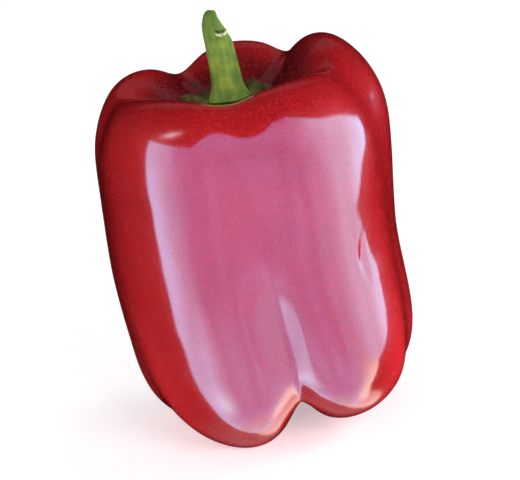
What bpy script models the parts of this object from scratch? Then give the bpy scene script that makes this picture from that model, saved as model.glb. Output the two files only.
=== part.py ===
"""A bell pepper: one fleshy fruit of five lobes, its green calyx and its stem.

Metres, +Z up. The fruit stands on the feet of its lobes, on the plane Z = 0, and its front faces -Y.
The origin is the centre of its footprint. Angles turn counterclockwise from +X, seen from above.
"""

from collections import namedtuple

import bpy
import numpy as np
from mathutils import Matrix

MM = 0.001

# Fruit: sizes of an average lobe, which the lobe table varies
BODY_RADIUS = 42.5 * MM
BODY_HEIGHT = 98 * MM  # from the feet to the shoulder crests
CREST_RING = 28 * MM  # radius of the ring on which the crests lie
CRATER_FLOOR = 9 * MM  # radius of the flat floor round the stem
CRATER_DEPTH = 9.5 * MM  # from the crests down to that floor
FOOT_RING = 20 * MM  # radius of the ring on which the feet lie
FOOT_DROP = 1.4 * MM  # how far below the ground the feet reach before they are cut flat
NAVEL_HEIGHT = 11 * MM  # of the bottom's centre above the ground

# Each lobe and the groove on its clockwise side. The groove has an angle at the crater and another at the
# bottom, a depth at the shoulder, along the side and between the feet, and a crease from 0 (rounded) to
# 1 (sharp) in its lower half. The lobe has a rise of its crest over BODY_HEIGHT, its reach at four levels
# as shares of BODY_RADIUS, the place of its foot as a share of FOOT_RING, and a lift of that foot off
# the ground.
Lobe = namedtuple(
    "Lobe",
    "groove_top_angle groove_foot_angle groove_top groove_side groove_foot crease"
    " rise top middle low hip foot lift",
)
LOBES = (
    Lobe(-94, -70, 4 * MM, 3.6 * MM, 12 * MM, 0.6, -1.5 * MM, 0.99, 0.97, 1.04, 1.02, 1.15, 3 * MM),
    Lobe(-18, -22, 6 * MM, 2.2 * MM, 8 * MM, 0, 3.5 * MM, 1.01, 0.91, 0.96, 0.95, 1.00, 0 * MM),
    Lobe(52, 45, 8 * MM, 3.5 * MM, 10 * MM, 0, 1.5 * MM, 0.97, 0.96, 0.96, 0.92, 1.00, 0 * MM),
    Lobe(116, 118, 8 * MM, 3.0 * MM, 8 * MM, 0, 0.3 * MM, 0.95, 0.97, 0.95, 0.91, 0.98, 0 * MM),
    Lobe(178, 226, 5 * MM, 1.5 * MM, 6 * MM, 0, -1.0 * MM, 0.96, 1.00, 0.975, 0.93, 1.22, 0 * MM),
)
LOBE_COLUMNS = 5
GROOVE_SHAPE = (1.0, 0.25, 0.0, 0.0, 0.25)  # share of the depth at each column of a lobe
LOBE_SHARE = (0.5, 0.85, 1.0, 1.0, 0.85)  # the rest comes from the nearer neighbour
GROOVE_TURN = 2  # a groove turns from its first angle to its second mostly near the bottom
CREASED_ROWS = (8, 12)  # where a crease starts and ends, as rows of control points from the crater
SMOOTHING = 2  # subdivision levels

# Calyx: a thin green star that lies on the crater's floor and runs up its wall
CALYX_RADIUS = 10 * MM  # to the notches between the points
CALYX_POINT = 3.5 * MM  # how far a point reaches past the notches
CALYX_POINTS = 6
CALYX_THICKNESS = 1.2 * MM
CALYX_COLUMNS = 72
CALYX_RINGS = 8

# Stem: a ridged stalk, torn off slantwise
STEM_RADIUS = 4.1 * MM
STEM_TAPER = 0.4 * MM  # how much thinner it is at the top
STEM_FLARE = 1.8 * MM  # how much wider its foot is
STEM_TOP = 114.5 * MM  # height of its tip above the ground
STEM_TEAR = 5 * MM  # height lost across the slanting end
TEAR_ANGLE = -20  # degrees: the side where the end is lowest
STEM_LEAN = -0.6 * MM  # sideways drift of the tip
STEM_RIDGES = 5
RIDGE_HEIGHT = 0.2 * MM
STEM_COLUMNS = 40
STEM_RINGS = 20

GAP = 0.3 * MM  # clearance between pieces that touch
AXIS_PLACE = (-0.86 * MM, -0.65 * MM, 0)  # the stem's axis is a little off the footprint's centre
CRATER_BASE = BODY_HEIGHT - CRATER_DEPTH


def lobe_profile(lobe):
    """Control points (radius, height, share of each groove depth) from the crater's centre, over the
    crest and down the side to the bottom's centre."""
    crest = BODY_HEIGHT + lobe.rise
    hip = BODY_RADIUS * lobe.hip
    foot = FOOT_RING * lobe.foot
    ground = lobe.lift - FOOT_DROP
    return np.array(
        [
            (0, CRATER_BASE, 0, 0, 0),
            (CRATER_FLOOR * 0.6, CRATER_BASE, 0, 0, 0),
            (CRATER_FLOOR * 1.35, CRATER_BASE + 0.1 * CRATER_DEPTH, 0.15, 0, 0),
            (CREST_RING * 0.72, crest - 0.4 * CRATER_DEPTH, 0.6, 0, 0),
            (CREST_RING, crest + 0.02 * BODY_HEIGHT, 1, 0, 0),
            ((CREST_RING + BODY_RADIUS) / 2, crest - 0.02 * BODY_HEIGHT, 0.9, 0.1, 0),
            (BODY_RADIUS * lobe.top, crest - 0.14 * BODY_HEIGHT, 0.45, 0.55, 0),
            (BODY_RADIUS * lobe.top, crest - 0.28 * BODY_HEIGHT, 0.1, 0.9, 0),
            (BODY_RADIUS * lobe.middle, 0.5 * BODY_HEIGHT, 0, 1, 0),
            (BODY_RADIUS * lobe.low, 0.3 * BODY_HEIGHT, 0, 1, 0.1),
            (hip, 0.1 * BODY_HEIGHT, 0, 0.5, 0.5),
            (foot + 0.3 * (hip - foot), ground, 0, 0, 1),
            (foot * 0.75, ground, 0, 0, 1),
            (foot * 0.3, NAVEL_HEIGHT * 0.8, 0, 0, 0.3),
            (0, NAVEL_HEIGHT, 0, 0, 0),
        ]
    )


def groove_angles(lobe, rows):
    turn = np.linspace(0, 1, rows) ** GROOVE_TURN
    return np.radians(lobe.groove_top_angle + (lobe.groove_foot_angle - lobe.groove_top_angle) * turn)


def lobe_columns(before, lobe, after):
    """The fruit's control points over one lobe: one row of points for each column."""
    own = lobe_profile(lobe)
    rows = len(own)
    start = groove_angles(lobe, rows)
    width = (groove_angles(after, rows) - start) % (2 * np.pi)
    columns = []
    for step in range(LOBE_COLUMNS):
        first_half = step * 2 < LOBE_COLUMNS
        neighbour = lobe_profile(before if first_half else after)
        share = LOBE_SHARE[step]
        points = share * own + (1 - share) * neighbour
        groove = lobe if first_half else after
        depths = (groove.groove_top, groove.groove_side, groove.groove_foot)
        depth = points[:, 2:] @ depths * GROOVE_SHAPE[step]
        along = np.gradient(points[:, :2], axis=0)
        along /= np.linalg.norm(along, axis=1, keepdims=True)
        radius = points[:, 0] + along[:, 1] * depth
        height = points[:, 1] - along[:, 0] * depth
        angle = start + width * step / LOBE_COLUMNS
        columns.append(np.stack([radius * np.cos(angle), radius * np.sin(angle), height], 1))
    return columns


def add_object(name, points, faces):
    mesh = bpy.data.meshes.new(name)
    mesh.from_pydata([tuple(p) for p in points], [], faces)
    mesh.shade_smooth()
    piece = bpy.data.objects.new(name, mesh)
    bpy.context.scene.collection.objects.link(piece)
    return piece


def paint(piece, colour, roughness):
    material = bpy.data.materials.new(piece.name)
    material.use_nodes = True
    shader = material.node_tree.nodes["Principled BSDF"]
    shader.inputs["Base Color"].default_value = (*colour, 1)
    shader.inputs["Roughness"].default_value = roughness
    shader.inputs["Metallic"].default_value = 0
    piece.data.materials.append(material)


def add_shell(name, rings, top, bottom):
    """A closed object from rings of points, the highest first, that turn counterclockwise from above."""
    count = len(rings[0])
    points = [point for ring in rings for point in ring] + [top, bottom]
    last = (len(rings) - 1) * count
    faces = []
    for column in range(count):
        following = (column + 1) % count
        for start in range(0, last, count):
            below = start + count
            faces.append((start + column, below + column, below + following, start + following))
        faces.append((column, following, len(points) - 2))
        faces.append((last + following, last + column, len(points) - 1))
    return add_object(name, points, faces)


def make_fruit():
    columns = []
    for i, lobe in enumerate(LOBES):
        columns += lobe_columns(LOBES[i - 1], lobe, LOBES[(i + 1) % len(LOBES)])
    grid = np.array(columns).transpose(1, 0, 2)
    fruit = add_shell("fruit", grid[1:-1], grid[0, 0], grid[-1, 0])
    add_creases(fruit.data)
    smooth = fruit.modifiers.new("smooth", "SUBSURF")
    smooth.levels = SMOOTHING
    smooth.render_levels = SMOOTHING
    flatten = fruit.modifiers.new("flat_feet", "BOOLEAN")
    flatten.operation = "DIFFERENCE"
    flatten.object = ground_cutter()
    paint(fruit, (0.42, 0.012, 0.016), 0.2)
    return fruit


def add_creases(mesh):
    """Sharpens the edges along the lower half of the creased grooves."""
    count = len(LOBES) * LOBE_COLUMNS
    sharpness = {}
    for i, lobe in enumerate(LOBES):
        for row in range(*CREASED_ROWS):
            above = (row - 1) * count + i * LOBE_COLUMNS
            sharpness[above, above + count] = lobe.crease
    crease = mesh.attributes.new("crease_edge", "FLOAT", "EDGE")
    for edge in mesh.edges:
        crease.data[edge.index].value = sharpness.get(tuple(sorted(edge.vertices)), 0)


def ground_cutter():
    """A block below the ground, which takes off the lowest part of each foot."""
    bpy.ops.mesh.primitive_cube_add(size=1)
    cutter = bpy.context.object
    cutter.name = "ground_cutter"
    cutter.data.transform(Matrix.Translation((0, 0, -0.5)))
    cutter.data.transform(Matrix.Scale(4 * BODY_RADIUS, 4))
    cutter.hide_render = True
    cutter.display_type = "WIRE"
    return cutter


def make_calyx(fruit):
    """A star-shaped sheet over the crater, dropped onto its floor and wall and thickened upwards."""
    angles = np.arange(CALYX_COLUMNS) * 2 * np.pi / CALYX_COLUMNS
    reach = CALYX_RADIUS + CALYX_POINT * (0.5 + 0.5 * np.cos(CALYX_POINTS * angles)) ** 1.5
    points = [(0, 0, BODY_HEIGHT)]
    faces = []
    for ring in range(1, CALYX_RINGS + 1):
        radius = reach * ring / CALYX_RINGS
        points += [(r * np.cos(a), r * np.sin(a), BODY_HEIGHT) for r, a in zip(radius, angles)]
        for column in range(CALYX_COLUMNS):
            outer = 1 + (ring - 1) * CALYX_COLUMNS
            following = (column + 1) % CALYX_COLUMNS
            if ring == 1:
                faces.append((0, outer + column, outer + following))
                continue
            inner = outer - CALYX_COLUMNS
            faces.append((inner + column, outer + column, outer + following, inner + following))
    calyx = add_object("calyx", points, faces)
    drop = calyx.modifiers.new("drop", "SHRINKWRAP")
    drop.target = fruit
    drop.wrap_method = "PROJECT"
    drop.use_project_z = True
    drop.use_negative_direction = True
    drop.use_positive_direction = False
    drop.wrap_mode = "ABOVE_SURFACE"
    drop.offset = GAP
    thicken = calyx.modifiers.new("thicken", "SOLIDIFY")
    thicken.thickness = CALYX_THICKNESS
    thicken.offset = 1
    paint(calyx, (0.07, 0.11, 0.02), 0.55)
    return calyx


def make_stem():
    angles = np.arange(STEM_COLUMNS) * 2 * np.pi / STEM_COLUMNS
    low_side = 0.5 + 0.5 * np.tanh(2 * np.cos(angles - np.radians(TEAR_ANGLE)))
    tip = STEM_TOP - STEM_TEAR * low_side
    foot = CRATER_BASE + CALYX_THICKNESS + 2.35 * GAP
    foot_edge = foot + 1 * MM
    ridge = RIDGE_HEIGHT * np.cos(STEM_RIDGES * angles)
    rings = []
    for rise in np.linspace(1, 0, STEM_RINGS):
        radius = STEM_RADIUS - STEM_TAPER * rise + STEM_FLARE * (1 - rise) ** 6
        radius = (radius + ridge * (1 - rise**4)) * (1 - 0.18 * rise**20)
        height = foot_edge + (tip - foot_edge) * rise
        x = radius * np.cos(angles) + STEM_LEAN * rise**2
        rings.append(np.stack([x, radius * np.sin(angles), height], 1))
    for share in (0.8, 0.4):
        ring = rings[STEM_RINGS - 1] * (share, share, 0)
        rings.append(ring + (0, 0, foot))
    top = (STEM_LEAN, 0, STEM_TOP - STEM_TEAR * 0.5)
    stem = add_shell("stem", rings, top, (0, 0, foot))
    paint(stem, (0.16, 0.24, 0.05), 0.5)
    return stem


def main():
    for old in list(bpy.data.objects):
        bpy.data.objects.remove(old)
    fruit = make_fruit()
    make_calyx(fruit)
    make_stem()
    pepper = bpy.data.objects.new("pepper", None)
    bpy.context.scene.collection.objects.link(pepper)
    for piece in list(bpy.data.objects):
        if piece is not pepper:
            piece.parent = pepper
    pepper.location = AXIS_PLACE


main()
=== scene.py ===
"""A glossy red bell pepper with a green calyx and a torn green stem, on a pale floor in soft light."""

from collections import namedtuple

import bpy
import numpy as np
from mathutils import Matrix, Vector, noise
from mathutils.bvhtree import BVHTree


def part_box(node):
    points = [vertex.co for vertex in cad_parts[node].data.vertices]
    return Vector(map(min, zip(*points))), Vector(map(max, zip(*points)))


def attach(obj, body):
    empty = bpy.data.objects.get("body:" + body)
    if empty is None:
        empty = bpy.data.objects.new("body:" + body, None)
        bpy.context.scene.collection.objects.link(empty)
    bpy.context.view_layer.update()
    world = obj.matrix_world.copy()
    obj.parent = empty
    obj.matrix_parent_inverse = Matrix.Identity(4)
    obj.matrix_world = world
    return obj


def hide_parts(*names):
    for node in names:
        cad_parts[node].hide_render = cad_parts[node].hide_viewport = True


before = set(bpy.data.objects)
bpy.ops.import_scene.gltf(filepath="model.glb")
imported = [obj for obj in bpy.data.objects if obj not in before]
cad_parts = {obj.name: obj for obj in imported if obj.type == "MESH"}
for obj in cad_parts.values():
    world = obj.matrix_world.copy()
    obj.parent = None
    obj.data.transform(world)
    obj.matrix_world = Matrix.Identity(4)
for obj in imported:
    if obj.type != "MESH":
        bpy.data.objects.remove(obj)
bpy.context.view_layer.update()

MM = 0.001
fruit_low, fruit_high = (np.array(corner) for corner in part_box("fruit"))
calyx_low, calyx_high = (np.array(corner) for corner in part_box("calyx"))
stem_low, stem_high = (np.array(corner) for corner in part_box("stem"))

WIDTH = fruit_high[0] - fruit_low[0]
HEIGHT = fruit_high[2]
AXIS = (calyx_low + calyx_high) / 2 * (1, 1, 0)  # the stem's axis

# ---------------------------------------------------------------- fruit

# Sizes of an average lobe, which the lobe table varies
BODY_RADIUS = 0.5193 * WIDTH
BODY_HEIGHT = 0.9630 * HEIGHT
CREST_RING = 0.3421 * WIDTH
CRATER_FLOOR = 0.1100 * WIDTH
CRATER_DEPTH = 0.0934 * HEIGHT
FOOT_RING = 0.2444 * WIDTH
FOOT_DROP = 0.0138 * HEIGHT
NAVEL_HEIGHT = 0.1081 * HEIGHT

# The lobes, each with the groove on its clockwise side, as in the solid model. Depths, rise and lift are
# in millimetres of a fruit 81.85 mm wide, and grow with the fruit.
UNIT = WIDTH / 81.85
Lobe = namedtuple(
    "Lobe",
    "groove_top_angle groove_foot_angle groove_top groove_side groove_foot crease"
    " rise top middle low hip foot lift",
)
LOBES = (
    Lobe(-94, -70, 4, 3.6, 12, 0.6, -1.5, 0.99, 0.97, 1.04, 1.02, 1.15, 3),
    Lobe(-18, -22, 6, 2.2, 8, 0, 3.5, 1.01, 0.91, 0.96, 0.95, 1.00, 0),
    Lobe(52, 45, 8, 3.5, 10, 0, 1.5, 0.97, 0.96, 0.96, 0.92, 1.00, 0),
    Lobe(116, 118, 8, 3.0, 8, 0, 0.3, 0.95, 0.97, 0.95, 0.91, 0.98, 0),
    Lobe(178, 226, 5, 1.5, 6, 0, -1.0, 0.96, 1.00, 0.975, 0.93, 1.22, 0),
)
LOBE_COLUMNS = 5
GROOVE_SHAPE = (1.0, 0.25, 0.0, 0.0, 0.25)
LOBE_SHARE = (0.5, 0.85, 1.0, 1.0, 0.85)
GROOVE_TURN = 2
CREASED_ROWS = (8, 12)
DENT_ANGLE = np.radians(-50)
DENT_HEIGHT = 0.48 * HEIGHT
DENT_DEPTH = 0.3 * UNIT
DENT_WIDTH = 1.2 * UNIT
DENT_LENGTH = 4.5 * UNIT
DENT_BEND = 30 * UNIT
CUT_DEPTH = 1.9 * UNIT
CUT_RIGHT_WIDTH = 0.52  # in columns of the cage
CUT_LEFT_WIDTH = 0.9
CUT_SHARPNESS = 1.15
FRUIT_LEVELS = 4
SWELL_HEIGHT = 0.35 * MM
SWELL_SIZE = 26 * MM
RIPPLE_HEIGHT = 0.07 * MM
RIPPLE_SIZE = 8 * MM
# share of the painted shade that the shoulders get
SHOULDER_SHADE = 0.4
FRONT_SHARE = 0.9  # how much of the painted bounce light on the low sides the front goes without


def lobe_profile(lobe):
    """Control points (radius, height, share of each groove depth) from the crater to the navel."""
    crest = BODY_HEIGHT + lobe.rise * UNIT
    base = BODY_HEIGHT - CRATER_DEPTH
    hip = BODY_RADIUS * lobe.hip
    foot = FOOT_RING * lobe.foot
    ground = lobe.lift * UNIT - FOOT_DROP
    return np.array(
        [
            (0, base, 0, 0, 0),
            (CRATER_FLOOR * 0.6, base, 0, 0, 0),
            (CRATER_FLOOR * 1.35, base + 0.1 * CRATER_DEPTH, 0.15, 0, 0),
            (CREST_RING * 0.72, crest - 0.4 * CRATER_DEPTH, 0.6, 0, 0),
            (CREST_RING, crest + 0.02 * BODY_HEIGHT, 1, 0, 0),
            ((CREST_RING + BODY_RADIUS) / 2, crest - 0.02 * BODY_HEIGHT, 0.9, 0.1, 0),
            (BODY_RADIUS * lobe.top, crest - 0.14 * BODY_HEIGHT, 0.45, 0.55, 0),
            (BODY_RADIUS * lobe.top, crest - 0.28 * BODY_HEIGHT, 0.1, 0.9, 0),
            (BODY_RADIUS * lobe.middle, 0.5 * BODY_HEIGHT, 0, 1, 0),
            (BODY_RADIUS * lobe.low, 0.3 * BODY_HEIGHT, 0, 1, 0.1),
            (hip, 0.1 * BODY_HEIGHT, 0, 0.5, 0.5),
            (foot + 0.3 * (hip - foot), ground, 0, 0, 1),
            (foot * 0.75, ground, 0, 0, 1),
            (foot * 0.3, NAVEL_HEIGHT * 0.8, 0, 0, 0.3),
            (0, NAVEL_HEIGHT, 0, 0, 0),
        ]
    )


def groove_angles(lobe, rows):
    turn = np.linspace(0, 1, rows) ** GROOVE_TURN
    return np.radians(lobe.groove_top_angle + (lobe.groove_foot_angle - lobe.groove_top_angle) * turn)


def lobe_columns(before, lobe, after):
    own = lobe_profile(lobe)
    rows = len(own)
    start = groove_angles(lobe, rows)
    width = (groove_angles(after, rows) - start) % (2 * np.pi)
    columns = []
    for step in range(LOBE_COLUMNS):
        first_half = step * 2 < LOBE_COLUMNS
        share = LOBE_SHARE[step]
        points = share * own + (1 - share) * lobe_profile(before if first_half else after)
        groove = lobe if first_half else after
        depths = np.array((groove.groove_top, groove.groove_side, groove.groove_foot)) * UNIT
        depth = points[:, 2:] @ depths * GROOVE_SHAPE[step]
        along = np.gradient(points[:, :2], axis=0)
        along /= np.linalg.norm(along, axis=1, keepdims=True)
        radius = points[:, 0] + along[:, 1] * depth
        height = points[:, 1] - along[:, 0] * depth
        angle = start + width * step / LOBE_COLUMNS
        columns.append(np.stack([radius * np.cos(angle), radius * np.sin(angle), height], 1))
    return columns


def add_object(name, points, faces):
    mesh = bpy.data.meshes.new(name)
    mesh.from_pydata([tuple(p) for p in points], [], faces)
    mesh.shade_smooth()
    piece = bpy.data.objects.new(name, mesh)
    bpy.context.scene.collection.objects.link(piece)
    return piece


def add_shell(name, rings, top, bottom):
    """A closed object from rings of points, the highest first, that turn counterclockwise from above."""
    count = len(rings[0])
    points = [point for ring in rings for point in ring] + [top, bottom]
    last = (len(rings) - 1) * count
    faces = []
    for column in range(count):
        following = (column + 1) % count
        for start in range(0, last, count):
            below = start + count
            faces.append((start + column, below + column, below + following, start + following))
        faces.append((column, following, len(points) - 2))
        faces.append((last + following, last + column, len(points) - 1))
    return add_object(name, points, faces)


def subdivided(piece, levels):
    """Replaces the piece's mesh with its smooth, subdivided form."""
    smooth = piece.modifiers.new("smooth", "SUBSURF")
    smooth.levels = levels
    smooth.render_levels = levels
    graph = bpy.context.evaluated_depsgraph_get()
    mesh = bpy.data.meshes.new_from_object(piece.evaluated_get(graph))
    piece.modifiers.clear()
    piece.data = mesh
    mesh.shade_smooth()


def vertex_arrays(mesh):
    points = np.empty(len(mesh.vertices) * 3)
    mesh.vertices.foreach_get("co", points)
    normals = np.empty(len(mesh.vertices) * 3)
    mesh.vertex_normals.foreach_get("vector", normals)
    return points.reshape(-1, 3), normals.reshape(-1, 3)


def set_points(mesh, points):
    mesh.vertices.foreach_set("co", points.ravel())
    mesh.update()


def set_mask(mesh, name, values):
    mask = mesh.attributes.new(name, "FLOAT", "POINT")
    mask.data.foreach_set("value", values.astype(np.float32))


def lumps(points, size, seed):
    """Smooth random values, about -1 to 1, that change over the given size."""
    shift = Vector((seed, seed * 0.7, seed * 1.3))
    return np.array([noise.noise(Vector(p) / size + shift) for p in points])


def smoothstep(low, high, value):
    share = np.clip((value - low) / (high - low), 0, 1)
    return share * share * (3 - 2 * share)


def add_creases(mesh):
    """Sharpens the edges along the lower half of the creased grooves."""
    count = len(LOBES) * LOBE_COLUMNS
    sharpness = {}
    for i, lobe in enumerate(LOBES):
        for row in range(*CREASED_ROWS):
            above = (row - 1) * count + i * LOBE_COLUMNS
            sharpness[above, above + count] = lobe.crease
    crease = mesh.attributes.new("crease_edge", "FLOAT", "EDGE")
    for edge in mesh.edges:
        crease.data[edge.index].value = sharpness.get(tuple(sorted(edge.vertices)), 0)


def add_places(mesh):
    """Each vertex's row, and its column counted from the front groove, positive to the right."""
    count = len(LOBES) * LOBE_COLUMNS
    order = np.arange(len(mesh.vertices))
    row = 1 + order // count
    column = (order % count + count // 2) % count - count // 2
    ends = order >= len(order) - 2
    last_row = len(lobe_profile(LOBES[0])) - 1
    set_mask(mesh, "row", np.where(ends, np.where(order == order[-1], last_row, 0), row))
    set_mask(mesh, "column", np.where(ends, 0, column))


def read_mask(mesh, name):
    values = np.empty(len(mesh.vertices), np.float32)
    mesh.attributes[name].data.foreach_get("value", values)
    return values


def groove_cut(row, column):
    """Depth of the sharp front groove: narrow on its right flank, wide on its left, over a few cage rows."""
    start = smoothstep(7.6, 8.6, row)
    fade = 1 - 0.85 * smoothstep(8.7, 9.6, row)
    end = smoothstep(10.7, 9.7, row)
    width = np.where(column > 0, CUT_RIGHT_WIDTH, CUT_LEFT_WIDTH)
    return CUT_DEPTH * (start * fade * end) * np.clip(1 - abs(column) / width, 0, 1) ** CUT_SHARPNESS


def dent(local):
    """Depth of a small upright crescent dent on the right of the front."""
    across = BODY_RADIUS * (np.arctan2(local[:, 1], local[:, 0]) - DENT_ANGLE)
    along = local[:, 2] - DENT_HEIGHT
    bent = across - along**2 / DENT_BEND
    return DENT_DEPTH * np.exp(-((bent / DENT_WIDTH) ** 2) - (along / DENT_LENGTH) ** 2)


def painted_shade_zone(local, reach):
    """1 in the crater, and less on the shoulders: painted shade that darkens the skin's colour where shade
    falls.
    """
    crater = smoothstep(0.37 * WIDTH, 0.22 * WIDTH, reach)
    crater *= smoothstep(0.5 * HEIGHT, 0.8 * HEIGHT, local[:, 2])
    return np.maximum(crater, SHOULDER_SHADE * smoothstep(0.86 * HEIGHT, 0.96 * HEIGHT, local[:, 2]))


def painted_bounce_zone(local, reach, normals):
    """1 low on the sides and the back, and little on the front: painted bounce light that brightens the
    skin's colour there.
    """
    painted_bounce = smoothstep(0.6 * HEIGHT, 0.15 * HEIGHT, local[:, 2]) * smoothstep(0.4, -0.2, normals[:, 2])
    front = smoothstep(0.45, 0.85, -normals[:, 1])
    return painted_bounce * (smoothstep(0.15 * WIDTH, 0.3 * WIDTH, reach) * (1 - FRONT_SHARE * front))


def make_fruit():
    columns = []
    for i, lobe in enumerate(LOBES):
        columns += lobe_columns(LOBES[i - 1], lobe, LOBES[(i + 1) % len(LOBES)])
    grid = np.array(columns).transpose(1, 0, 2) + AXIS
    fruit = add_shell("pepper_fruit", grid[1:-1], grid[0, 0], grid[-1, 0])
    add_creases(fruit.data)
    add_places(fruit.data)
    subdivided(fruit, FRUIT_LEVELS)
    points, normals = vertex_arrays(fruit.data)
    local = points - AXIS
    reach = np.hypot(local[:, 0], local[:, 1])
    crater = painted_shade_zone(local, reach)
    painted_bounce = painted_bounce_zone(local, reach, normals)
    swell = SWELL_HEIGHT * lumps(points, SWELL_SIZE, 3.1) + RIPPLE_HEIGHT * lumps(points, RIPPLE_SIZE, 7.7)
    cut = groove_cut(read_mask(fruit.data, "row"), read_mask(fruit.data, "column"))
    points += normals * (swell * (1 - crater) - cut - dent(local))[:, None]
    points[:, 2] = np.maximum(points[:, 2], 0)
    set_points(fruit.data, points)
    # painted shade in the crater and on the shoulders, for the skin's colour
    set_mask(fruit.data, "crater", crater)
    # painted bounce light low on the sides and the back, for the skin's colour
    set_mask(fruit.data, "painted_bounce", painted_bounce)
    return fruit


# ---------------------------------------------------------------- calyx and stem

CALYX_RADIUS = 0.375 * (calyx_high[0] - calyx_low[0])
CALYX_POINT = 0.13 * (calyx_high[0] - calyx_low[0])
CALYX_POINTS = 6
CALYX_THICKNESS = 1.2 * MM
CALYX_LIFT = 0.15 * MM
CALYX_COLUMNS = 180
CALYX_RINGS = 28
VEIN_HEIGHT = 0.12 * MM
RAISED_SEPALS = ((3.2, 32, 20), (2.4, 172, 24))  # curl in millimetres, direction and spread in degrees
STEM_RADIUS = 4.1 * MM
STEM_TAPER = 0.4 * MM
STEM_FLARE = 1.8 * MM
STEM_TOP = stem_high[2]
STEM_FOOT = stem_low[2]
STEM_LEAN = -0.6 * MM
STEM_COLUMNS = 96
STEM_RINGS = 120
RIDGE_HEIGHT = 0.2 * MM
RIDGES = 5
RIB_HEIGHT = 0.1 * MM
RIBS = 13
TIP_ROUNDING = 1.2 * MM
TIP_ROUGHNESS = 0.4 * MM
CAP_SHARES = (0.06, 0.15, 0.25, 0.35, 0.45, 0.55, 0.65, 0.75, 0.84, 0.92, 0.97)
TEAR_DROP = 6.3 * MM  # from the stem's top to its tear
TEAR_LIP = 0.3 * MM
TEAR_DEPTH = 0.35 * MM


def crater_hit(tree, x, y):
    place, normal, _, _ = tree.ray_cast(Vector((x, y, 2 * HEIGHT)), Vector((0, 0, -1)))
    return np.array(place), np.array(normal)


def turned(angle, degrees):
    """How far an angle is from one given in degrees, in degrees."""
    return (np.degrees(angle) - degrees + 180) % 360 - 180


def sepal_rise(angle):
    """How far the two raised sepals stand up at an angle, in millimetres."""
    return sum(curl * np.exp(-((turned(angle, at) / spread) ** 2)) for curl, at, spread in RAISED_SEPALS)


def make_calyx(fruit):
    """A star of thin leaf that lies on the crater, thick at the stem, with raised wavy edges."""
    tree = BVHTree.FromObject(fruit, bpy.context.evaluated_depsgraph_get())
    angles = np.arange(CALYX_COLUMNS) * 2 * np.pi / CALYX_COLUMNS
    jitter = np.array([noise.noise(Vector((np.cos(a), np.sin(a), 4.2)) * 1.4) for a in angles])
    spike = (0.5 + 0.5 * np.cos(CALYX_POINTS * angles)) ** 2
    reach = CALYX_RADIUS + CALYX_POINT * spike * (1 + 0.5 * jitter) + 0.5 * MM * jitter
    tops = []
    bottoms = []
    for ring in range(1, CALYX_RINGS + 1):
        share = ring / CALYX_RINGS
        top = []
        bottom = []
        for a, r, j in zip(angles, reach, jitter):
            x, y = AXIS[0] + r * share * np.cos(a), AXIS[1] + r * share * np.sin(a)
            place, normal = crater_hit(tree, x, y)
            vein = VEIN_HEIGHT * np.cos(CALYX_POINTS * a) * share
            curl = MM * share**3 * (0.4 + 0.8 * abs(j) + sepal_rise(a))
            thickness = CALYX_THICKNESS * (1 - 0.55 * share**3) + vein * (1 - share)
            top.append(place + normal * (CALYX_LIFT + curl + thickness))
            bottom.append(place + normal * (CALYX_LIFT + curl))
        tops.append(top)
        bottoms.append(bottom)
    rings_of_points = tops + bottoms[::-1]
    place, normal = crater_hit(tree, AXIS[0], AXIS[1])
    top_centre = place + normal * (CALYX_LIFT + CALYX_THICKNESS)
    calyx = add_shell("pepper_calyx", rings_of_points, top_centre, place + normal * CALYX_LIFT)
    points, _ = vertex_arrays(calyx.data)
    distance = np.hypot(points[:, 0] - AXIS[0], points[:, 1] - AXIS[1])
    set_mask(calyx.data, "out", distance / (CALYX_RADIUS + CALYX_POINT))
    return calyx


def tip_profile(across):
    """Height of the broken end against its top, from its left edge (-1) to its right edge (1)."""
    right = np.maximum(across + 0.25, 0)
    left = np.maximum(-across - 0.25, 0)
    dome = 1.3 * right**1.5 + 4.16 * left**2.6
    notch = 2.0 * smoothstep(0.22, 0.4, across) + 1.2 * smoothstep(0.4, 0.75, across)
    edge = 1.2 * smoothstep(0.75, 1.1, across)
    return -MM * (dome + notch + edge)


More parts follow.
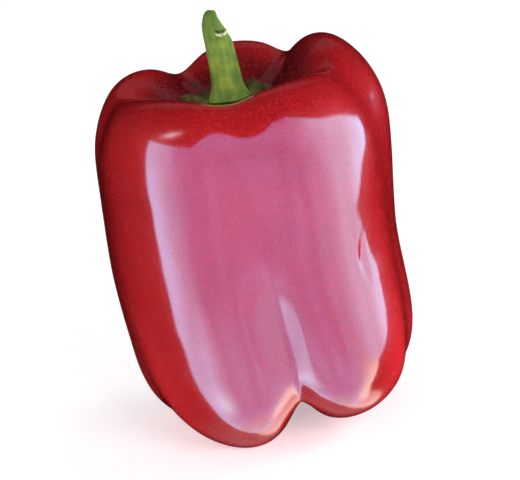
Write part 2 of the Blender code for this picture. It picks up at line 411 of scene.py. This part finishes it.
def make_stem():
    """A ridged, leaning stalk with a flared foot, a slanting broken end and a small tear below it."""
    angles = np.arange(STEM_COLUMNS) * 2 * np.pi / STEM_COLUMNS
    ragged = np.array([noise.noise(Vector((np.cos(a) * 2, np.sin(a) * 2, 1.3))) for a in angles])
    ridge = RIDGE_HEIGHT * np.cos(RIDGES * angles) + RIB_HEIGHT * np.cos(RIBS * angles + 0.7)
    tip = STEM_TOP + tip_profile(np.cos(angles)) - TIP_ROUNDING + TIP_ROUGHNESS * ragged
    layers = []
    for rise in np.linspace(1, 0, STEM_RINGS):
        radius = STEM_RADIUS - STEM_TAPER * rise + STEM_FLARE * (1 - rise) ** 9
        radius = (radius + ridge * (1 - 0.6 * rise)) * (1 - 0.14 * rise**24)
        height = STEM_FOOT + (tip - STEM_FOOT) * rise
        x = AXIS[0] + radius * np.cos(angles) + STEM_LEAN * rise**2
        layers.append(np.stack([x, AXIS[1] + radius * np.sin(angles), height], 1))
    centre = np.array((AXIS[0] + STEM_LEAN, AXIS[1], 0))
    caps = []
    for share in CAP_SHARES:
        cap = centre + (layers[0] - centre) * share
        heights = STEM_TOP + tip_profile(share * np.cos(angles)) - TIP_ROUNDING * share**4
        cap[:, 2] = heights + TIP_ROUGHNESS * ragged * share
        caps.append(cap)
    foot = (AXIS[0], AXIS[1], STEM_FOOT)
    stem = add_shell("pepper_stem", caps + layers, centre + (0, 0, STEM_TOP + tip_profile(0.0)), foot)
    points, normals = vertex_arrays(stem.data)
    across = (points[:, 0] - centre[0]) / STEM_RADIUS
    below = (points[:, 2] - (STEM_TOP - TEAR_DROP)) / MM - 0.9 * (across - 0.35) ** 2 * 3
    inside = smoothstep(-0.12, 0.05, across) * smoothstep(0.85, 0.7, across) * (normals[:, 1] < 0.2)
    torn = smoothstep(0.55, 0.2, abs(below)) * inside
    nick = smoothstep(0.5, 0.2, abs(below - 0.7)) * inside
    points += normals * (TEAR_LIP * torn - TEAR_DEPTH * nick)[:, None]
    set_points(stem.data, points)
    set_mask(stem.data, "torn", torn)
    set_mask(stem.data, "nick", nick)
    rise = (points[:, 2] - STEM_FOOT) / (STEM_TOP - STEM_FOOT)
    set_mask(stem.data, "rise", rise)
    # painted shade on the stem's right side and at its foot
    set_mask(stem.data, "shaded", np.maximum(smoothstep(0.2, 0.9, across), 0.6 * smoothstep(0.3, 0, rise)))
    return stem


# ---------------------------------------------------------------- materials


class Nodes:
    """Short calls for building a material's node tree."""

    def __init__(self, name):
        self.material = bpy.data.materials.new(name)
        self.material.use_nodes = True
        self.tree = self.material.node_tree
        self.shader = self.tree.nodes["Principled BSDF"]

    def add(self, kind, inputs=None, **settings):
        node = self.tree.nodes.new(kind)
        for key, value in settings.items():
            setattr(node, key, value)
        for key, value in (inputs or {}).items():
            self.put(value, node.inputs[key])
        return node

    def put(self, value, socket):
        if isinstance(value, bpy.types.NodeSocket):
            self.tree.links.new(value, socket)
        else:
            socket.default_value = value

    def mask(self, name):
        return self.add("ShaderNodeAttribute", attribute_name=name).outputs["Fac"]

    def noise(self, scale, detail=3.0, roughness=0.5, stretch=None):
        place = self.add("ShaderNodeTexCoord").outputs["Object"]
        if stretch:
            place = self.add("ShaderNodeMapping", {"Vector": place, "Scale": stretch}).outputs["Vector"]
        inputs = {"Vector": place, "Scale": scale, "Detail": detail, "Roughness": roughness}
        return self.add("ShaderNodeTexNoise", inputs).outputs["Fac"]

    def spots(self, scale):
        place = self.add("ShaderNodeTexCoord").outputs["Object"]
        return self.add("ShaderNodeTexVoronoi", {"Vector": place, "Scale": scale}).outputs["Distance"]

    def ramp(self, value, low, high, to_low=0.0, to_high=1.0):
        inputs = {"Value": value, "From Min": low, "From Max": high, "To Min": to_low, "To Max": to_high}
        return self.add("ShaderNodeMapRange", inputs).outputs["Result"]

    def mix(self, share, first, second):
        node = self.add("ShaderNodeMix", data_type="RGBA")
        self.put(share, node.inputs["Factor"])
        self.put(first if isinstance(first, bpy.types.NodeSocket) else (*first, 1), node.inputs["A"])
        self.put(second if isinstance(second, bpy.types.NodeSocket) else (*second, 1), node.inputs["B"])
        return node.outputs["Result"]

    def times(self, first, second):
        return self.add("ShaderNodeMath", {0: first, 1: second}, operation="MULTIPLY").outputs[0]

    def bump(self, height, strength, distance, normal=None):
        inputs = {"Height": height, "Strength": strength, "Distance": distance}
        if normal:
            inputs["Normal"] = normal
        return self.add("ShaderNodeBump", inputs).outputs["Normal"]

    def finish(self, **values):
        for key, value in values.items():
            self.put(value, self.shader.inputs[key.replace("_", " ")])
        return self.material


SKIN_RED = (0.37, 0.006, 0.009)
SKIN_WARM = (0.44, 0.010, 0.012)
SKIN_DEEP = (0.34, 0.005, 0.010)
# painted shade for the crater and the shoulders
SKIN_PAINTED_SHADE = (0.085, 0.004, 0.006)
# painted bounce light for the low sides
SKIN_PAINTED_BOUNCE = (0.68, 0.022, 0.030)
FLECK_COLOUR = (0.62, 0.07, 0.06)
DARK_GRAIN = (0.16, 0.004, 0.010)
LIGHT_GRAIN = (0.62, 0.05, 0.05)
COAT_IOR = 1.8


def skin_material():
    """Glossy red skin. Its colour also holds the crater's shade and the light bounced onto the low sides."""
    n = Nodes("skin")
    red = n.mix(n.ramp(n.noise(60, 4), 0.3, 0.7), SKIN_RED, SKIN_WARM)
    red = n.mix(n.ramp(n.noise(14, 2), 0.35, 0.75), red, SKIN_DEEP)
    # painted shade: darker in the crater and on the shoulders
    red = n.mix(n.times(n.mask("crater"), 0.9), red, SKIN_PAINTED_SHADE)
    # painted bounce light: paler low on the sides and the back
    red = n.mix(n.times(n.mask("painted_bounce"), 0.9), red, SKIN_PAINTED_BOUNCE)
    fleck = n.ramp(n.spots(900), 0.16, 0.05)
    red = n.mix(n.times(fleck, 0.15), red, FLECK_COLOUR)
    grain = n.noise(1700, 2)
    red = n.mix(n.ramp(grain, 0.57, 0.70, 0.0, 0.55), red, DARK_GRAIN)
    red = n.mix(n.ramp(grain, 0.43, 0.30, 0.0, 0.35), red, LIGHT_GRAIN)
    pores = n.bump(n.spots(1100), 0.06, 0.0003, n.bump(grain, 0.14, 0.0003))
    dimples = n.bump(n.noise(420, 3), 0.09, 0.0006, pores)
    roughness = n.ramp(n.noise(180, 3), 0.3, 0.7, 0.2, 0.3)
    return n.finish(
        Base_Color=red,
        Roughness=roughness,
        Normal=dimples,
        Specular_IOR_Level=0.3,
        Subsurface_Weight=0.1,
        Subsurface_Radius=(1.0, 0.15, 0.1),
        Subsurface_Scale=0.003,
        Coat_Weight=1.0,
        Coat_Roughness=0.03,
        Coat_IOR=COAT_IOR,
    )


def calyx_material():
    n = Nodes("calyx")
    green = n.mix(n.ramp(n.noise(260, 4), 0.35, 0.65), (0.10, 0.11, 0.015), (0.20, 0.20, 0.03))
    brown = n.mix(n.ramp(n.noise(450, 4), 0.3, 0.7), (0.035, 0.022, 0.008), (0.09, 0.062, 0.02))
    colour = n.mix(n.ramp(n.mask("out"), 0.42, 0.7), green, brown)
    colour = n.mix(n.ramp(n.noise(800, 3), 0.62, 0.72, 0.0, 0.5), colour, (0.30, 0.26, 0.09))
    return n.finish(
        Base_Color=colour,
        Roughness=n.ramp(n.noise(300), 0.3, 0.7, 0.55, 0.75),
        Normal=n.bump(n.noise(900, 5), 0.7, 0.0008),
        Specular_IOR_Level=0.2,
    )


def stem_material():
    n = Nodes("stem")
    streak = n.noise(900, 4, 0.6, (1, 1, 0.25))
    green = n.mix(n.ramp(streak, 0.35, 0.65), (0.12, 0.20, 0.022), (0.20, 0.30, 0.04))
    yellow = n.times(n.ramp(n.noise(230, 3), 0.42, 0.62), n.ramp(n.mask("rise"), 0.85, 0.5))
    green = n.mix(yellow, green, (0.30, 0.36, 0.045))
    green = n.mix(n.ramp(n.mask("rise"), 0.6, 1.0, 0.0, 0.55), green, (0.045, 0.10, 0.02))
    green = n.mix(n.ramp(n.noise(1600, 3), 0.6, 0.75, 0.0, 0.45), green, (0.05, 0.09, 0.015))
    # painted shade: darker on the stem's right side and at its foot
    green = n.mix(n.times(n.mask("shaded"), 0.45), green, (0.035, 0.075, 0.02))
    pale = n.mix(n.noise(900, 4), (0.5, 0.55, 0.28), (0.75, 0.75, 0.5))
    colour = n.mix(n.mask("nick"), n.mix(n.mask("torn"), green, pale), (0.03, 0.05, 0.012))
    return n.finish(
        Base_Color=colour,
        Roughness=n.ramp(streak, 0.3, 0.7, 0.5, 0.7),
        Normal=n.bump(streak, 0.5, 0.0006, n.bump(n.noise(1500, 4), 0.35, 0.0004)),
        Specular_IOR_Level=0.2,
        Subsurface_Weight=0.1,
        Subsurface_Radius=(0.6, 1.0, 0.2),
        Subsurface_Scale=0.001,
    )


# ---------------------------------------------------------------- stage, lights and camera


FLOOR_COLUMNS = 96
FLOOR_PROFILE = (  # radius and height, in metres
    (0.05, 0),
    (0.3, 0),
    (0.8, 0),
    (1.4, 0),
    (1.9, 0),
    (2.25, 0.04),
    (2.45, 0.16),
    (2.55, 0.36),
    (2.6, 0.7),
    (2.6, 1.2),
    (2.6, 2.0),
)
FLOOR_COLOUR = (0.82, 0.82, 0.82, 1)
FLOOR_GLOW = 0.37


def make_floor():
    """A flat floor that curves up into a wall all round, seamless and nearly white."""
    angles = np.linspace(0, 2 * np.pi, FLOOR_COLUMNS, endpoint=False)
    points = []
    for radius, height in FLOOR_PROFILE:
        level = np.full(FLOOR_COLUMNS, height)
        points += list(np.stack([radius * np.cos(angles), radius * np.sin(angles), level], 1))
    faces = [tuple(range(FLOOR_COLUMNS))]
    for start in range(0, len(points) - FLOOR_COLUMNS, FLOOR_COLUMNS):
        outer = start + FLOOR_COLUMNS
        for column in range(FLOOR_COLUMNS):
            following = (column + 1) % FLOOR_COLUMNS
            faces.append((start + column, outer + column, outer + following, start + following))
    floor = add_object("floor", points, faces)
    n = Nodes("floor")
    n.finish(Base_Color=FLOOR_COLOUR, Roughness=0.9, Specular_IOR_Level=0.0)
    n.finish(Emission_Color=(1, 1, 1, 1), Emission_Strength=FLOOR_GLOW)
    floor.data.materials.append(n.material)
    floor.visible_glossy = False


def aim(thing, place, target):
    thing.location = place
    thing.rotation_euler = (Vector(target) - Vector(place)).to_track_quat("-Z", "Y").to_euler()


def area_light(name, place, size, power):
    """A square soft light, aimed at the pepper, that the glossy skin doesn't mirror."""
    data = bpy.data.lights.new(name, "AREA")
    data.shape = "RECTANGLE"
    data.size = size
    data.size_y = size
    data.energy = power
    light = bpy.data.objects.new(name, data)
    bpy.context.scene.collection.objects.link(light)
    aim(light, place, (0, 0, HEIGHT / 2))
    light.visible_camera = False
    light.visible_glossy = False


SURROUND_RADIUS = 2.0
SURROUND_STRENGTH = 0.61
SURROUND_STEP = 1.5  # degrees from point to point

# The window that the skin mirrors, in degrees. Its top has a height for each direction, its sides have a
# direction for each height.
WINDOW_TOP = ((-75, 28), (-22, 28), (8, 46), (35, 48), (60, 38), (90, 24), (118, 9))
WINDOW_LEFT = ((-60, -62), (-35, -69), (-20, -75), (15, -76))
WINDOW_RIGHT = ((-75, 110), (-55, 75), (-45, 68), (-24, 76), (-8, 116), (0, 121))

MIDDLE_GLOW = (1.1, 1.5, 3.5)
LOW_GLOW = (1.3, 2.1, 4.3)
LEFT_GLOW = (2.9, 4.8, 7.8)
RIGHT_GLOW = (2.6, 5.8, 8.4)
LOW_RIGHT_GLOW = (6.5, 6.0, 5.2)
BOTTOM_GLOW = (3.0, 3.6, 4.6)
FOLD_GLOW = (2.2, 4.0, 4.0)
ROOM_GLOW = (0.95, 0.95, 1.0)
GLINT_GLOW = (5.5, 5.5, 6.0)
PEACH_GLOW = (3.0, 2.4, 2.2)


def outline(value, points):
    return np.interp(value, *zip(*points))


def glow_spot(azimuth, elevation, place, spread):
    return np.exp(-(((azimuth - place[0]) / spread[0]) ** 2) - ((elevation - place[1]) / spread[1]) ** 2)


def tinted(share, glow):
    return share[..., None] * np.array(glow)


def surround_glow(azimuth, elevation):
    """What the skin mirrors from each direction, in degrees: azimuth 0 is the front and 90 the right."""
    window = smoothstep(-2, 2, azimuth - outline(elevation, WINDOW_LEFT))
    window *= smoothstep(2, -2, azimuth - outline(elevation, WINDOW_RIGHT))
    window *= smoothstep(1.5, -1.5, elevation - outline(azimuth, WINDOW_TOP))
    low = smoothstep(-12, -30, elevation)
    left = smoothstep(-35 + 8 * low, -68 + 4 * low, azimuth) * (1 + 0.1 * low)
    right = smoothstep(20, 100, azimuth)
    low_right = smoothstep(44, 68, azimuth) * smoothstep(-20, -30, elevation)
    bottom = smoothstep(-54, -76, elevation)
    colour = np.array(MIDDLE_GLOW) * np.ones((*azimuth.shape, 1))
    goals = (
        (low, LOW_GLOW),
        (left, LEFT_GLOW),
        (right, RIGHT_GLOW),
        (low_right, LOW_RIGHT_GLOW),
        (bottom, BOTTOM_GLOW),
    )
    for share, goal in goals:
        colour += share[..., None] * (np.array(goal) - colour)
    colour += tinted(glow_spot(azimuth, elevation, (-45, -43), (11, 9)), FOLD_GLOW)
    peach = smoothstep(-50, -56, elevation) * smoothstep(50, 70, azimuth) * smoothstep(160, 140, azimuth)
    slant = 0.35 * (azimuth + 49)
    glint = glow_spot(azimuth, elevation - slant, (-49, 40), (12, 3.5))
    ground = 0.5 * smoothstep(-40, -75, elevation)
    behind = smoothstep(130, 150, abs(azimuth))
    behind *= smoothstep(34, 44, elevation) * smoothstep(72, 62, elevation)
    room = tinted(ground + 0.15 * behind, ROOM_GLOW) + tinted(glint, GLINT_GLOW) + tinted(peach, PEACH_GLOW)
    return window[..., None] * colour + (1 - window[..., None]) * room


def make_surround():
    """A sphere that only the skin's reflections see: a wide pale window in front and a white ground."""
    around = np.arange(-180, 181, SURROUND_STEP)
    azimuth, elevation = np.meshgrid(around, np.arange(-90, 91, SURROUND_STEP))
    a, e = np.radians(azimuth), np.radians(elevation)
    points = np.stack([np.sin(a) * np.cos(e), -np.cos(a) * np.cos(e), np.sin(e)], -1) * SURROUND_RADIUS
    points += (0, 0, HEIGHT / 2)
    rows, columns = azimuth.shape
    faces = []
    for row in range(rows - 1):
        for column in range(columns - 1):
            start = row * columns + column
            faces.append((start, start + 1, start + columns + 1, start + columns))
    surround = add_object("surround", points.reshape(-1, 3), faces)
    cloud = 1 + 0.3 * lumps(points.reshape(-1, 3) * (1, 1, 0.4), 0.45, 5.5)
    glow = surround_glow(azimuth, elevation).reshape(-1, 3) * cloud[:, None]
    paint = surround.data.attributes.new("glow", "FLOAT_COLOR", "POINT")
    paint.data.foreach_set("color", np.hstack([glow, np.ones((len(glow), 1))]).astype(np.float32).ravel())
    n = Nodes("surround")
    source = n.add("ShaderNodeAttribute", attribute_name="glow").outputs["Color"]
    n.finish(Base_Color=(0, 0, 0, 1), Specular_IOR_Level=0.0)
    n.finish(Emission_Color=source, Emission_Strength=SURROUND_STRENGTH)
    surround.data.materials.append(n.material)
    surround.visible_camera = False
    surround.visible_diffuse = False
    surround.visible_shadow = False
    surround.visible_transmission = False


LIGHTS = (  # name, place in metres, width and power in watts
    ("key", (0.75, -1.3, 0.75), 0.8, 14),
    ("fill", (-1.2, -0.4, 0.8), 0.9, 4),
    ("side", (1.2, 0.3, 0.35), 0.6, 11),
    ("top", (0, 0.2, 1.6), 1.6, 4.5),
)
WORLD_COLOUR = (0.95, 0.96, 1.0, 1)
WORLD_STRENGTH = 0.1


def make_lights():
    for name, place, size, power in LIGHTS:
        area_light(name, place, size, power)
    world = bpy.data.worlds.new("world")
    world.use_nodes = True
    background = world.node_tree.nodes["Background"]
    background.inputs["Color"].default_value = WORLD_COLOUR
    background.inputs["Strength"].default_value = WORLD_STRENGTH
    bpy.context.scene.world = world


CAMERA_DISTANCE = 0.5
CAMERA_ELEVATION = np.radians(17)
CAMERA_ROLL = np.radians(10)
CAMERA_SENSOR = 36
VIEW_WIDTH = 1.748 * WIDTH  # how much the picture's width takes in at the pepper
AIM_ACROSS = 0.006 * WIDTH
AIM_HEIGHT = 0.4922 * HEIGHT
AIM_DROP = 0.0075 * HEIGHT


def make_camera():
    forward = Vector((0, np.cos(CAMERA_ELEVATION), -np.sin(CAMERA_ELEVATION)))
    right = Vector((1, 0, 0))
    up = right.cross(forward)
    target = Vector((AIM_ACROSS, 0, AIM_HEIGHT)) - up * AIM_DROP
    image_right = right * np.cos(CAMERA_ROLL) - up * np.sin(CAMERA_ROLL)
    image_up = right * np.sin(CAMERA_ROLL) + up * np.cos(CAMERA_ROLL)
    data = bpy.data.cameras.new("camera")
    data.sensor_width = CAMERA_SENSOR
    data.lens = CAMERA_SENSOR * CAMERA_DISTANCE / VIEW_WIDTH
    camera = bpy.data.objects.new("camera", data)
    bpy.context.scene.collection.objects.link(camera)
    turn = Matrix((image_right, image_up, -forward)).transposed().to_4x4()
    camera.matrix_world = Matrix.Translation(target - forward * CAMERA_DISTANCE) @ turn
    bpy.context.scene.camera = camera


def dress(piece, material, node):
    piece.data.materials.clear()
    piece.data.materials.append(material)
    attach(piece, "root")
    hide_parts(node)


def main():
    fruit = make_fruit()
    calyx = make_calyx(fruit)
    stem = make_stem()
    dress(fruit, skin_material(), "fruit")
    dress(calyx, calyx_material(), "calyx")
    dress(stem, stem_material(), "stem")
    make_floor()
    make_surround()
    make_lights()
    make_camera()
    bpy.context.scene.view_settings.view_transform = "Standard"


main()
